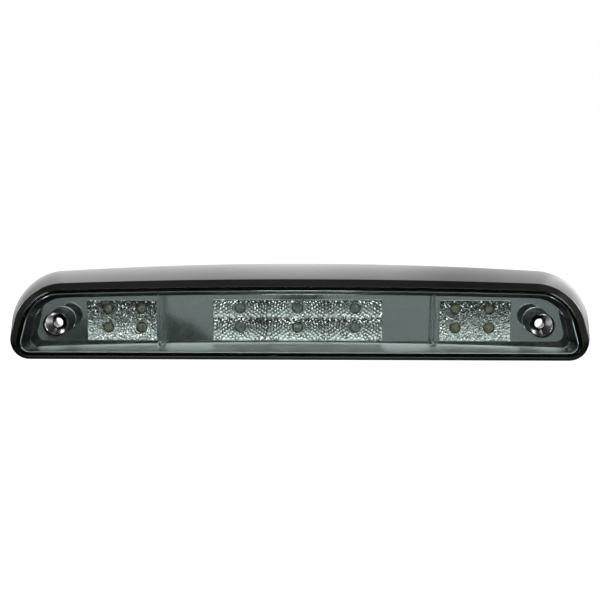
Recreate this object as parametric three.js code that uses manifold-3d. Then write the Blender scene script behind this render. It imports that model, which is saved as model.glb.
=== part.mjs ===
/**
 * Third brake light with two cargo lamps, for the rear of a vehicle's cab.
 *
 * Millimetres. X runs to the right as seen from behind the vehicle, Y runs into the cab (the lens faces -Y),
 * and Z runs up. The origin lies in the mounting plane, midway between the two screw holes.
 */
import * as THREE from 'three';
import { mergeVertices } from 'three/addons/utils/BufferGeometryUtils.js';
import Module from 'manifold-3d';

const wasm = await Module();
wasm.setup();

// ---------------------------------------------------------------- driving dimensions

const GAP = 0.3; // clearance kept between neighbouring pieces

// Outlines in the XZ plane. Each side leans in by `lean` per mm of height; the top edge arches up by `rise`
// and the bottom edge by `lift` at the middle; `shoulder` and `foot` are the corner radii.
const REAR = { half: 200.2, lean: 0.02, top: 30.9, rise: 5.0, bottom: -27.5, lift: 0, shoulder: 37, foot: 16 };
const CREST = { half: 196.5, lean: 0.29, top: 27.1, rise: 2.6, bottom: -23.6, lift: 0, shoulder: 35.4, foot: 12.5 };
const RIDGE = { half: 190.1, lean: 0.29, top: 22.2, rise: 2.5, bottom: -20.9, lift: 0, shoulder: 30.5, foot: 9 };
const TRAY_RIM = { half: 185.5, lean: 0.29, top: 20.4, rise: 2.3, bottom: -18.7, lift: 0, shoulder: 27, foot: 6.5 };
const PANEL = { half: 183.9, lean: 0.29, top: 14.9, rise: 1.8, bottom: -17.8, lift: 1.9, shoulder: 24, foot: 5 };

// Depths, from the front (most negative) to the mounting plane at 0.
const RIDGE_Y = -52;
const LENS_Y = -51.6;
const LENS_THICK = 2.4;
const RIM_Y = LENS_Y + LENS_THICK + GAP;
const CREST_Y = -46;
const CHANNEL_FLOOR_Y = -44.7;
const PANEL_Y = -26;
const PANEL_THICK = 1.2;
const BOARD_Y = -19.9;
const BOARD_THICK = 1.6;
const BACK_Y = -9;
const BACK_THICK = 2.5;
const RIM_REAR_Y = -3.3;

const SKIRT_WALL = 2.8;
const BOX_WALL = 2.2;
const TRAY_WALL = 1.0;
const GROOVE_FRONT_Y = -40;
const RIB_THICK = 1.6;
const RIB_PITCH = 30;
const RIB_COUNT = 10;

const SCREW_X = 160;
const SCREW_R = 3.1;
const WELL = { outer: 8.0, mouth: 7.3, inner: 6.9, floorY: -41.3, frontY: -47.4 };
const TOWER = {
  frontY: -40, webThick: 5.5, flareY: -24.3, wideY: -13.5, neck: 6.5, bore: 5.2, wide: 12.5, wall: 1.6,
};

const LED_ROWS = [7.6, -5.6];
const CENTER_COLUMNS = [-39, 0, 39];
const SIDE_COLUMNS = [106.5, 129.2];
const APERTURE_R = 3.9;
const LED = { width: 7.6, baseY: -20.2, shoulderY: -23.0, domeR: 2.9, tipY: -25.9 };

const CENTER_WINDOW = { x0: -57.5, x1: 57.5, z0: -14.7, z1: 13.8 };
const SIDE_WINDOW = { x0: 95.7, x1: 143.8, z0: -14.6, z1: 13.3 };
const REFLECTOR = { frontY: -26.3, flangeY: -24.5, backY: -23.3, flange: 2 };
const DIVIDER = { x: 91.5, thick: 3.8, frontY: -39 };

const BOARD_SCREW_Z = 1;
const CENTER_BOARD_SCREWS = [-19.5, 19.5];
const SIDE_BOARD_SCREWS = [117.85, 139];
const BEZEL_SCREW = { x: 74, z: 9, bossR: 3.4 };

const GASKET = { inset: 1, width: 7.5, thick: 3 };
const VENT = { x: -30, z: 8 };
const GROMMET = { x: 30, z: 4, bore: 3 };

const TURNS = 24; // facets round a screw well
const SMALL_TURNS = 12; // facets round a screw or a component
const BORE_TURNS = 16; // facets round a small bore

// ---------------------------------------------------------------- materials

const MATERIALS = {
  gloss_black: { color: 0x121412, roughness: 0.12, metalness: 0 },
  smoked_lens: { color: 0x3a4240, roughness: 0.05, metalness: 0, transparent: true, opacity: 0.45 },
  chrome: { color: 0xc9cdcc, roughness: 0.08, metalness: 1 },
  faceted_chrome: { color: 0xd2d5d2, roughness: 0.15, metalness: 1 },
  divider: { color: 0xaeb6b6, roughness: 0.25, metalness: 0.3 },
  rubber: { color: 0x0c0e0c, roughness: 0.7, metalness: 0 },
  foam: { color: 0x17181a, roughness: 0.95, metalness: 0 },
  led_clear: { color: 0xa8aca2, roughness: 0.1, metalness: 0 },
  led_phosphor: { color: 0xb5ae78, roughness: 0.12, metalness: 0 },
  board: { color: 0x1e5a33, roughness: 0.4, metalness: 0 },
  steel: { color: 0x9a9c9d, roughness: 0.3, metalness: 1 },
  component: { color: 0x2a2a2c, roughness: 0.5, metalness: 0 },
  resistor: { color: 0xb89a6a, roughness: 0.5, metalness: 0 },
  nylon: { color: 0xe6e3d8, roughness: 0.5, metalness: 0 },
  lead: { color: 0x1b1b1d, roughness: 0.6, metalness: 0 },
};

// ---------------------------------------------------------------- outlines

/** The same outline moved in by `d` all round (out, if d is negative). */
function inset(o, d) {
  const slant = Math.hypot(1, o.lean);
  return {
    ...o,
    half: o.half - d * (slant + o.lean),
    top: o.top - d,
    bottom: o.bottom + d,
    shoulder: o.shoulder - d,
    foot: o.foot - d,
  };
}

/** The outline a fraction s of the way from a to b. */
function between(a, b, s) {
  return Object.fromEntries(Object.keys(a).map((key) => [key, THREE.MathUtils.lerp(a[key], b[key], s)]));
}

/** Points of an arc from angle a0 to a1, both ends included. */
function arc(cx, cz, r, a0, a1, steps) {
  return Array.from({ length: steps + 1 }, (_, i) => {
    const a = THREE.MathUtils.lerp(a0, a1, i / steps);
    return new THREE.Vector2(cx + r * Math.cos(a), cz + r * Math.sin(a));
  });
}

/** The outline's points, counter-clockwise as seen from the front, from the right foot. */
function outlinePoints(o) {
  const slant = Math.hypot(1, o.lean);
  const sideAngle = Math.atan(o.lean);
  const footX = o.half - o.foot * (slant + o.lean);
  const shoulderX = o.half - o.lean * (o.top - o.shoulder - o.bottom) - o.shoulder * slant;
  const right = [
    ...arc(footX, o.bottom + o.foot, o.foot, -Math.PI / 2, sideAngle, 5),
    ...arc(shoulderX, o.top - o.shoulder, o.shoulder, sideAngle, Math.PI / 2, 9),
  ];
  const left = right.map((p) => new THREE.Vector2(-p.x, p.y)).reverse();
  const bowed = (edgeX, z, bow, steps) => Array.from({ length: steps - 1 }, (_, i) => {
    const t = 1 - (2 * (i + 1)) / steps;
    return new THREE.Vector2(edgeX * t, z + bow * (1 - t * t));
  });
  const top = bowed(shoulderX, o.top, o.rise, 12);
  const bottom = bowed(footX, o.bottom, o.lift, 8).reverse();
  return [...right, ...top, ...left, ...bottom];
}

// ---------------------------------------------------------------- solids

/** The signed volume of an indexed triangle mesh. */
function signedVolume(position, triangles) {
  const a = new THREE.Vector3();
  const b = new THREE.Vector3();
  const c = new THREE.Vector3();
  let volume = 0;
  for (let i = 0; i < triangles.length; i += 3) {
    a.fromBufferAttribute(position, triangles[i]);
    b.fromBufferAttribute(position, triangles[i + 1]);
    c.fromBufferAttribute(position, triangles[i + 2]);
    volume += a.dot(b.cross(c)) / 6;
  }
  return volume;
}

/** A three.js geometry as a solid, its faces turned outwards. */
function solid(geometry) {
  const bare = geometry.clone();
  bare.deleteAttribute('normal');
  bare.deleteAttribute('uv');
  const welded = mergeVertices(bare, 1e-4);
  const triangles = [];
  for (let i = 0; i < welded.index.count; i += 3) {
    const corners = [0, 1, 2].map((k) => welded.index.getX(i + k));
    if (new Set(corners).size === 3) triangles.push(...corners);
  }
  if (signedVolume(welded.attributes.position, triangles) < 0) triangles.reverse();
  const mesh = new wasm.Mesh({
    numProp: 3,
    vertProperties: Float32Array.from(welded.attributes.position.array),
    triVerts: Uint32Array.from(triangles),
  });
  return new wasm.Manifold(mesh);
}

/** A solid as a three.js geometry. */
function surface(body) {
  const mesh = body.getMesh();
  const geometry = new THREE.BufferGeometry();
  geometry.setAttribute('position', new THREE.BufferAttribute(Float32Array.from(mesh.vertProperties), 3));
  geometry.setIndex(Array.from(mesh.triVerts));
  geometry.computeVertexNormals();
  return geometry;
}

/** A closed skin over a row of sections, each [y, outline]. */
function loft(sections) {
  const rings = sections.map(([y, o]) => outlinePoints(o).map((p) => new THREE.Vector3(p.x, y, p.y)));
  const count = rings[0].length;
  const triangles = [];
  for (let s = 0; s + 1 < rings.length; s += 1) {
    for (let i = 0; i < count; i += 1) {
      const a = s * count + i;
      const b = s * count + ((i + 1) % count);
      triangles.push(a, b, b + count, a, b + count, a + count);
    }
  }
  const capAt = (s, flip) => {
    const flat = rings[s].map((p) => new THREE.Vector2(p.x, p.z));
    for (const face of THREE.ShapeUtils.triangulateShape(flat, [])) {
      const corners = face.map((k) => k + s * count);
      triangles.push(...(flip ? corners.reverse() : corners));
    }
  };
  capAt(0, true);
  capAt(rings.length - 1, false);
  const geometry = new THREE.BufferGeometry().setFromPoints(rings.flat());
  geometry.setIndex(triangles);
  return solid(geometry);
}

/** A straight slab of an outline between two depths. */
function slab(o, y0, y1) {
  return loft([[y0, o], [y1, o]]);
}

/** A straight ring between two outlines and two depths. */
function ring(outer, inner, y0, y1) {
  return slab(outer, y0, y1).subtract(slab(inner, y0 - 1, y1 + 1));
}

/** A piece turned about a depth axis at (x, z), from its [radius, y] profile. */
function turned(profile, x = 0, z = 0, facets = TURNS) {
  const points = profile.map(([r, y]) => new THREE.Vector2(r, y));
  return solid(new THREE.LatheGeometry(points, facets).translate(x, 0, z));
}

/** A round rod along the depth axis. */
function rod(r, y0, y1, x = 0, z = 0, facets = TURNS) {
  return turned([[0, y0], [r, y0], [r, y1], [0, y1]], x, z, facets);
}

/** A box from its lowest to its highest corner. */
function block(x0, x1, y0, y1, z0, z1) {
  const box = new THREE.BoxGeometry(x1 - x0, y1 - y0, z1 - z0);
  return solid(box.translate((x0 + x1) / 2, (y0 + y1) / 2, (z0 + z1) / 2));
}

/** Every solid of a list joined. */
function join(bodies) {
  return bodies.reduce((whole, body) => whole.add(body));
}

/** A solid cut by every solid of a list. */
function cut(body, tools) {
  return tools.reduce((rest, tool) => rest.subtract(tool), body);
}

const SIDES = [['left', -1], ['right', 1]];

/** A window, turned to the left or right half. */
function mirrored(w, side) {
  return side > 0 ? w : { ...w, x0: -w.x1, x1: -w.x0 };
}

// ---------------------------------------------------------------- housing

/** The outer skin: front bevel, then a skirt that flares fast at first and runs out nearly straight. */
function skinSections(d) {
  const steps = [0, 0.15, 0.35, 0.6, 1];
  const flare = (t) => 1.7 * t - 0.7 * t * t;
  return steps.map((t) => [
    THREE.MathUtils.lerp(CREST_Y, RIM_REAR_Y, t),
    inset(between(CREST, REAR, flare(t)), d),
  ]);
}

/** The screw tower's turned wall, and the stepped bore down its middle. */
function towerProfiles() {
  const webY = TOWER.frontY + TOWER.webThick;
  const outerWide = TOWER.wide + TOWER.wall;
  const wall = [
    [0, TOWER.frontY], [TOWER.neck, TOWER.frontY], [TOWER.neck, TOWER.flareY],
    [outerWide, TOWER.wideY], [outerWide, RIM_REAR_Y], [0, RIM_REAR_Y],
  ];
  const bore = [
    [0, TOWER.frontY - 1], [SCREW_R, TOWER.frontY - 1], [SCREW_R, webY], [TOWER.bore, webY],
    [TOWER.bore, TOWER.flareY], [TOWER.wide, TOWER.wideY], [TOWER.wide, 1], [0, 1],
  ];
  return { wall, bore };
}

function housing() {
  const skin = loft([[RIDGE_Y, RIDGE], ...skinSections(0)]);
  const boxInner = inset(TRAY_RIM, -0.4);
  const boxOuter = inset(boxInner, -BOX_WALL);
  const grooveSections = skinSections(SKIRT_WALL).filter(([y]) => y > GROOVE_FRONT_Y);
  const grooveFront = [GROOVE_FRONT_Y, inset(between(CREST, REAR, 0.22), SKIRT_WALL)];
  const grooveRear = [1, inset(REAR, SKIRT_WALL)];
  const ribs = [block(-210, 210, -60, 0.5, -RIB_THICK / 2, RIB_THICK / 2)];
  for (let i = 0; i < RIB_COUNT; i += 1) {
    const x = (i - (RIB_COUNT - 1) / 2) * RIB_PITCH;
    ribs.push(block(x - RIB_THICK / 2, x + RIB_THICK / 2, -60, 0.5, -40, 45));
  }
  const groove = cut(loft([grooveFront, ...grooveSections, grooveRear]), [slab(boxOuter, -60, 2), ...ribs]);
  const lensChannel = slab(inset(RIDGE, 0.5), RIDGE_Y - 1, CHANNEL_FLOOR_Y);
  const lightBox = slab(boxInner, CHANNEL_FLOOR_Y - 1, BACK_Y);
  const rearRecess = slab(boxInner, BACK_Y + BACK_THICK, 1);
  const shell = cut(skin, [groove, lensChannel, lightBox, rearRecess]);

  const { wall, bore } = towerProfiles();
  const towers = SIDES.map(([, side]) => turned(wall, side * SCREW_X));
  const bores = SIDES.map(([, side]) => turned(bore, side * SCREW_X));
  const screwHoles = bezelScrewPlaces().map(([x, z]) => rod(1.6, BACK_Y - 1, 0, x, z, SMALL_TURNS));
  const ventHole = rod(2.4, BACK_Y - 1, 0, VENT.x, VENT.z, BORE_TURNS);
  const grommetHole = rod(6, BACK_Y - 1, 0, GROMMET.x, GROMMET.z, BORE_TURNS);
  return cut(join([shell, ...towers]), [...bores, ...screwHoles, ventHole, grommetHole]);
}

// ---------------------------------------------------------------- lens and its seals

function lens() {
  const plate = slab(inset(RIDGE, 0.8), LENS_Y, LENS_Y + LENS_THICK);
  return cut(plate, SIDES.map(([, side]) => rod(7.9, LENS_Y - 1, LENS_Y + LENS_THICK + 1, side * SCREW_X)));
}

function lensSeal() {
  return ring(inset(RIDGE, 0.8), inset(TRAY_RIM, -GAP), RIM_Y, CHANNEL_FLOOR_Y - GAP);
}

function wellSeal(side) {
  const y0 = LENS_Y + LENS_THICK + GAP;
  const y1 = WELL.frontY - GAP;
  return turned([[7.35, y0], [8, y0], [8, y1], [7.35, y1], [7.35, y0]], side * SCREW_X);
}

// ---------------------------------------------------------------- bezel

function bezelScrewPlaces() {
  return [-1, 1].flatMap((sx) => [-1, 1].map((sz) => [sx * BEZEL_SCREW.x, sz * BEZEL_SCREW.z]));
}

/** The tray's inner space, from its rim back to the panel, moved in by d. */
function traySpace(d, frontY = RIM_Y) {
  return loft([[frontY, inset(TRAY_RIM, TRAY_WALL + d)], [PANEL_Y - d, inset(PANEL, d)]]);
}

function bezel() {
  const panelBack = PANEL_Y + PANEL_THICK;
  const tray = loft([[RIM_Y, TRAY_RIM], [panelBack, inset(PANEL, -TRAY_WALL)]]);
  const mouth = loft([[RIM_Y - 0.5, inset(TRAY_RIM, TRAY_WALL)], [PANEL_Y, PANEL]]);
  const windows = [CENTER_WINDOW, ...SIDES.map(([, side]) => mirrored(SIDE_WINDOW, side))];
  const openings = windows.map((w) => block(w.x0, w.x1, PANEL_Y - 2, panelBack + 1, w.z0, w.z1));

  const well = [
    [0, WELL.frontY], [WELL.outer, WELL.frontY], [WELL.outer, panelBack], [0, panelBack],
  ];
  const cone = [
    [0, WELL.frontY - 1], [WELL.mouth, WELL.frontY - 1], [WELL.mouth, WELL.frontY], [SCREW_R, WELL.floorY],
    [SCREW_R, WELL.floorY + 2], [0, WELL.floorY + 2],
  ];
  const under = [[0, TOWER.frontY - GAP], [WELL.inner, TOWER.frontY - GAP], [WELL.inner, 0], [0, 0]];
  const wells = SIDES.map(([, side]) => turned(well, side * SCREW_X));
  const hollows = SIDES.flatMap(([, side]) => [turned(cone, side * SCREW_X), turned(under, side * SCREW_X)]);

  const bosses = bezelScrewPlaces().map(([x, z]) => (
    rod(BEZEL_SCREW.bossR, panelBack - 0.5, BACK_Y - GAP, x, z, SMALL_TURNS)
  ));
  const pilots = bezelScrewPlaces().map(([x, z]) => rod(1.3, -18, 0, x, z, SMALL_TURNS));
  return cut(join([cut(tray, [mouth]), ...wells, ...bosses]), [...openings, ...hollows, ...pilots]);
}

function bezelScrew([x, z]) {
  const headY = BACK_Y + BACK_THICK + GAP;
  const tipY = -16.5;
  const profile = [
    [0, tipY], [0.6, tipY], [1, tipY + 1], [1, headY], [3.2, headY], [2.4, headY + 1.8], [0, headY + 2.1],
  ];
  return turned(profile, x, z, SMALL_TURNS);
}

// ---------------------------------------------------------------- reflectors, dividers and light sources

/** A plate that fills its window, with a flange behind the panel and two bosses for the board's screws. */
function reflector(window, columns, screws) {
  const { x0, x1, z0, z1 } = window;
  const { frontY, flangeY, backY, flange } = REFLECTOR;
  const plate = join([
    block(x0 + GAP, x1 - GAP, frontY, backY, z0 + GAP, z1 - GAP),
    block(x0 - flange, x1 + flange, flangeY, backY, z0 - flange, z1 + flange),
    ...screws.map((x) => rod(2.6, backY - 0.5, BOARD_Y - GAP, x, BOARD_SCREW_Z, SMALL_TURNS)),
  ]);
  const apertures = columns.flatMap((x) => LED_ROWS.map((z) => (
    rod(APERTURE_R, frontY - 1, backY + 1, x, z, BORE_TURNS)
  )));
  const pilots = screws.map((x) => rod(1.2, backY, 0, x, BOARD_SCREW_Z, SMALL_TURNS));
  return cut(plate, [...apertures, ...pilots]);
}

/** An upright light barrier that stands on the panel and fits the tray's floor and ceiling. */
function divider(side) {
  const x = side * DIVIDER.x;
  const sheet = block(x - DIVIDER.thick / 2, x + DIVIDER.thick / 2, DIVIDER.frontY, PANEL_Y, -40, 40);
  return sheet.intersect(traySpace(GAP));
}

function led(x, z) {
  const half = LED.width / 2;
  const dome = [[0, LED.tipY]];
  const steps = 3;
  for (let i = 1; i <= steps; i += 1) {
    const a = (i / steps) * (Math.PI / 2);
    dome.push([LED.domeR * Math.sin(a), LED.tipY + 2.2 * (1 - Math.cos(a))]);
  }
  dome.push([LED.domeR, LED.shoulderY + 0.5], [0, LED.shoulderY + 0.5]);
  const body = block(x - half, x + half, LED.shoulderY, LED.baseY, z - half, z + half);
  return join([body, turned(dome, x, z, SMALL_TURNS)]);
}

// ---------------------------------------------------------------- boards and what is on them

function board(window, screws) {
  const edge = 1.2;
  const plate = block(
    window.x0 - edge, window.x1 + edge, BOARD_Y, BOARD_Y + BOARD_THICK, window.z0 - edge, window.z1 + edge,
  );
  return cut(plate, screws.map((x) => rod(1.5, BOARD_Y - 1, BOARD_Y + 3, x, BOARD_SCREW_Z, SMALL_TURNS)));
}

function boardScrew(x) {
  const headY = BOARD_Y + BOARD_THICK + GAP;
  const tipY = -22.6;
  const profile = [
    [0, tipY], [0.5, tipY], [0.9, tipY + 0.7], [0.9, headY], [2.4, headY], [1.9, headY + 1.4], [0, headY + 1.6],
  ];
  return turned(profile, x, BOARD_SCREW_Z, SMALL_TURNS);
}

/** A component with wire legs, lying along X on the back of a board. Its body swells at both ends. */
function axialPart(x, z, r, length, swell) {
  const half = length / 2;
  const axisY = BOARD_Y + BOARD_THICK + GAP + r + 0.2;
  const profile = [
    [0, -half], [r, -half + 0.4], [r, -half + 1.4], [r - swell, -half + 1.9],
    [r - swell, half - 1.9], [r, half - 1.4], [r, half - 0.4], [0, half],
  ];
  const points = profile.map(([radius, along]) => new THREE.Vector2(radius, along));
  const body = new THREE.LatheGeometry(points, SMALL_TURNS).rotateZ(Math.PI / 2).translate(x, axisY, z);
  const wire = 0.35;
  const reach = half + 1.6;
  const boardBack = BOARD_Y + BOARD_THICK + GAP;
  const legs = [-reach, reach].map((dx) => block(
    x + dx - wire, x + dx + wire, boardBack, axisY + wire, z - wire, z + wire,
  ));
  const wires = block(x - reach, x + reach, axisY - wire, axisY + wire, z - wire, z + wire);
  return join([solid(body), wires, ...legs]);
}

/** A wire header: an open-topped shroud with its terminal block inside. */
function header(x, z, width) {
  const y0 = BOARD_Y + BOARD_THICK + GAP;
  const shroud = block(x - width / 2, x + width / 2, y0, y0 + 6.5, z - 3, z + 3);
  const mouth = block(x - width / 2 + 1, x + width / 2 - 1, y0 + 2.5, y0 + 8, z - 2, z + 2);
  const tongue = block(x - width / 2 + 2.4, x + width / 2 - 2.4, y0 + 2, y0 + 5.4, z - 0.9, z + 0.9);
  return join([cut(shroud, [mouth]), tongue]);
}

const HEADER_CENTER = { x: 0, z: -10, width: 14 };
const HEADER_SIDE = { x: 102.5, z: 1, width: 9 };

/** The pair of wires, in one sleeve, that feeds a side board from the centre board. */
function jumperLead(side) {
  const y = -14.5;
  const start = HEADER_SIDE.x - HEADER_SIDE.width / 2 - GAP;
  const end = HEADER_CENTER.width / 2 + GAP;
  const route = [
    [start, y, 1], [start - 6, y, 1], [74, y + 0.5, 0], [50, y, -3], [28, y, -9], [end + 6, y, -10], [end, y, -10],
  ];
  const path = new THREE.CatmullRomCurve3(route.map(([x, py, z]) => new THREE.Vector3(side * x, py, z)));
  const section = new THREE.Shape();
  section.absarc(0, 0, 1.5, 0, 2 * Math.PI, false);
  return solid(new THREE.ExtrudeGeometry(section, { extrudePath: path, steps: 20, curveSegments: 4 }));
}

// ---------------------------------------------------------------- rear fittings

function mountingGasket() {
  return ring(inset(REAR, GASKET.inset), inset(REAR, GASKET.inset + GASKET.width), -GASKET.thick, 0);
}

function ventPlug() {
  const back = BACK_Y + BACK_THICK + GAP;
  const inside = BACK_Y - GAP;
  const profile = [
    [0, inside - 1.6], [1.8, inside - 1.6], [2.9, inside], [2.1, inside], [2.1, back], [5, back], [5, back + 1.2],
    [4.2, back + 2], [0, back + 2],
  ];
  return turned(profile, VENT.x, VENT.z, SMALL_TURNS);
}

function cableGrommet() {
  const back = BACK_Y + BACK_THICK + GAP;
  const inside = BACK_Y - GAP;
  const { x, z, bore } = GROMMET;
  const profile = [
    [bore, inside - 2], [6.8, inside - 2], [7.4, inside - 1.2], [7.4, inside], [5.7, inside], [5.7, back],
    [8.2, back], [8.2, back + 1], [5.4, back + 2.2], [bore, back + 2.2], [bore, inside - 2],
  ];
  return turned(profile, x, z, BORE_TURNS);
}

// ---------------------------------------------------------------- assembly

const lamp = new THREE.Group();

function place(name, body, material) {
  const mesh = new THREE.Mesh(surface(body), new THREE.MeshStandardMaterial(MATERIALS[material]));
  mesh.name = name;
  lamp.add(mesh);
}

place('housing', housing(), 'gloss_black');
place('lens', lens(), 'smoked_lens');
place('lens_seal', lensSeal(), 'rubber');
place('bezel', bezel(), 'chrome');
place('mounting_gasket', mountingGasket(), 'foam');
place('vent_plug', ventPlug(), 'rubber');
place('cable_grommet', cableGrommet(), 'rubber');
bezelScrewPlaces().forEach((spot, i) => place(`bezel_screw_${i + 1}`, bezelScrew(spot), 'steel'));

place('reflector_center', reflector(CENTER_WINDOW, CENTER_COLUMNS, CENTER_BOARD_SCREWS), 'faceted_chrome');
place('board_center', board(CENTER_WINDOW, CENTER_BOARD_SCREWS), 'board');
CENTER_BOARD_SCREWS.forEach((x, i) => place(`board_screw_center_${i + 1}`, boardScrew(x), 'steel'));
CENTER_COLUMNS.flatMap((x) => LED_ROWS.map((z) => [x, z])).forEach(([x, z], i) => {
  place(`led_red_${i + 1}`, led(x, z), 'led_clear');
});
place('resistor_center_1', axialPart(-38, 8, 1.3, 8, 0.25), 'resistor');
place('resistor_center_2', axialPart(40, 9, 1.3, 8, 0.25), 'resistor');
place('diode_center', axialPart(0, 9, 1.4, 6, 0), 'component');
place('header_center', header(HEADER_CENTER.x, HEADER_CENTER.z, HEADER_CENTER.width), 'nylon');

for (const [label, side] of SIDES) {
  const window = mirrored(SIDE_WINDOW, side);
  const screws = SIDE_BOARD_SCREWS.map((x) => side * x);
  const columns = SIDE_COLUMNS.map((x) => side * x);
  place(`well_seal_${label}`, wellSeal(side), 'rubber');
  place(`divider_${label}`, divider(side), 'divider');
  place(`reflector_${label}`, reflector(window, columns, screws), 'faceted_chrome');
  place(`board_${label}`, board(window, screws), 'board');
  screws.forEach((x, i) => place(`board_screw_${label}_${i + 1}`, boardScrew(x), 'steel'));
  columns.flatMap((x) => LED_ROWS.map((z) => [x, z])).forEach(([x, z], i) => {
    place(`led_white_${label}_${i + 1}`, led(x, z), 'led_phosphor');
  });
  place(`resistor_${label}`, axialPart(side * 122, -9, 1.3, 8, 0.25), 'resistor');
  place(`diode_${label}`, axialPart(side * 122, 9, 1.4, 6, 0), 'component');
  place(`header_${label}`, header(side * HEADER_SIDE.x, HEADER_SIDE.z, HEADER_SIDE.width), 'nylon');
  place(`jumper_lead_${label}`, jumperLead(side), 'lead');
}

export default lamp;
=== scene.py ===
"""Third brake light with two cargo lamps: its finished look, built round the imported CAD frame.

Sizes are in millimetres, on the frame's own axes: X to the right, Y into the cab (the lens faces -Y), Z up.
"""
import math
import random
from typing import NamedTuple

import bmesh
import bpy
from mathutils import Matrix, Vector
from mathutils.kdtree import KDTree


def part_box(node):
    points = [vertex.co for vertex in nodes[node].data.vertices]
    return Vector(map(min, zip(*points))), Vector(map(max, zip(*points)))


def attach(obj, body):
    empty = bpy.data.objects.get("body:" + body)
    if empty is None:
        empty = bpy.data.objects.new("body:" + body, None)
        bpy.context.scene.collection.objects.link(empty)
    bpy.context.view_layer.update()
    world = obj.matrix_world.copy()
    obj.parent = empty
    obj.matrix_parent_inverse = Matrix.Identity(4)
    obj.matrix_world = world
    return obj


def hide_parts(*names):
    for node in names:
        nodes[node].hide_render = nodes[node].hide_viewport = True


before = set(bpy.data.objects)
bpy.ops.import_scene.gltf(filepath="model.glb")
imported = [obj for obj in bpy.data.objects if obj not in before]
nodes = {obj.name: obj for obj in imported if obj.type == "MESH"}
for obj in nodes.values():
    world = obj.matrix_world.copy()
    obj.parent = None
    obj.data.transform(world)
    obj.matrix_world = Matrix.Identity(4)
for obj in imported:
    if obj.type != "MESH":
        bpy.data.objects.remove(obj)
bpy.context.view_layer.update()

MM = 0.001
SIDES = (("left", -1), ("right", 1))
scene = bpy.context.scene


def box_mm(node):
    """A CAD node's lowest and highest corner, in millimetres."""
    low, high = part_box(node)
    return low / MM, high / MM


def middle_mm(node):
    """The middle of a CAD node's box, in millimetres."""
    low, high = box_mm(node)
    return (low + high) / 2


# ---------------------------------------------------------------- camera

CAMERA_AT = Vector((0.0173, -0.770, 0.1137))
CAMERA_YAW = math.radians(2.14)
CAMERA_PITCH = math.radians(-7.68)
CAMERA_ROLL = math.radians(-0.2)
CAMERA_LENS = 66.5
CAMERA_SHIFT = 0.03


def make_camera():
    data = bpy.data.cameras.new("camera")
    data.lens = CAMERA_LENS
    data.shift_x = CAMERA_SHIFT
    camera = bpy.data.objects.new("camera", data)
    scene.collection.objects.link(camera)
    turn = Matrix.Rotation(CAMERA_YAW, 4, "Z")
    tip = Matrix.Rotation(math.pi / 2 + CAMERA_PITCH, 4, "X")
    roll = Matrix.Rotation(CAMERA_ROLL, 4, "Z")
    camera.matrix_world = Matrix.Translation(CAMERA_AT) @ turn @ tip @ roll
    scene.camera = camera


# ---------------------------------------------------------------- driving dimensions


class Outline(NamedTuple):
    """A rounded outline in the XZ plane. Each side leans in by `lean` per mm of height. The top edge arches
    up by `rise` and the bottom edge by `lift` at the middle. `shoulder` and `foot` are the corner radii."""

    half: float
    lean: float
    top: float
    rise: float
    bottom: float
    lift: float
    shoulder: float
    foot: float

    def inset(self, d):
        """The same outline moved in by `d` all round (out, if d is negative)."""
        slant = math.hypot(1, self.lean)
        return self._replace(
            half=self.half - d * (slant + self.lean),
            top=self.top - d,
            bottom=self.bottom + d,
            shoulder=self.shoulder - d,
            foot=self.foot - d,
        )

    def points(self):
        """The outline's points (x, z), counter-clockwise as seen from the front, from the right foot."""
        slant = math.hypot(1, self.lean)
        side_angle = math.atan(self.lean)
        foot_x = self.half - self.foot * (slant + self.lean)
        straight = self.top - self.shoulder - self.bottom
        shoulder_x = self.half - self.lean * straight - self.shoulder * slant
        shoulder_z = self.top - self.shoulder
        right = arc(foot_x, self.bottom + self.foot, self.foot, -math.pi / 2, side_angle, FOOT_STEPS)
        right += arc(shoulder_x, shoulder_z, self.shoulder, side_angle, math.pi / 2, SHOULDER_STEPS)
        left = [(-x, z) for x, z in reversed(right)]
        top = bowed(shoulder_x, self.top, self.rise, TOP_STEPS)
        bottom = bowed(foot_x, self.bottom, self.lift, BOTTOM_STEPS)
        return right + top + left + bottom[::-1]


FOOT_STEPS = 10
SHOULDER_STEPS = 22
TOP_STEPS = 48
BOTTOM_STEPS = 32

REAR = Outline(200.2, 0.02, 30.9, 5.0, -27.5, 0, 37, 16)
CREST = Outline(196.0, 0.29, 27.1, 2.6, -24.2, 0, 35.4, 12.5)
RIDGE = Outline(189.9, 0.29, 23.8, 2.3, -21.2, 0, 31, 9)
TRAY_RIM = Outline(186.9, 0.27, 21.1, 2.2, -19.4, 0, 25, 6.5)
PANEL = Outline(185.0, 0.26, 15.0, 2.4, -19.2, 3.3, 22, 5)

RIDGE_Y = box_mm("housing")[0].y
LENS_Y, LENS_BACK_Y = (corner.y for corner in box_mm("lens"))
RIM_Y, SEAL_BACK_Y = (corner.y for corner in box_mm("lens_seal"))
CREST_Y = -46
CHANNEL_FLOOR_Y = -44.7
PANEL_Y = -26
PANEL_THICK = 1.2
BACK_Y = -9
BACK_THICK = 2.5
RIM_REAR_Y = box_mm("housing")[1].y
SKIRT_WALL = 2.8
BOX_WALL = 2.2
TRAY_WALL = 1.0
SEAL_LIP = 0.4
GROOVE_FRONT_Y = -40
RIB_THICK = 1.6
RIB_PITCH = 30
RIB_COUNT = 10

SCREW_X = middle_mm("well_seal_right").x
SCREW_R = 3.1
WELL_R = 8.0
WELL_FRONT_Y = -47.4
WELL_FLOOR_Y = -41.3
WELL_UNDER_Y = -40.3
APERTURE_R = 3.9


def arc(cx, cz, r, a0, a1, steps):
    """Points of an arc from angle a0 to a1, both ends included."""
    turns = (a0 + (a1 - a0) * i / steps for i in range(steps + 1))
    return [(cx + r * math.cos(a), cz + r * math.sin(a)) for a in turns]


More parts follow.
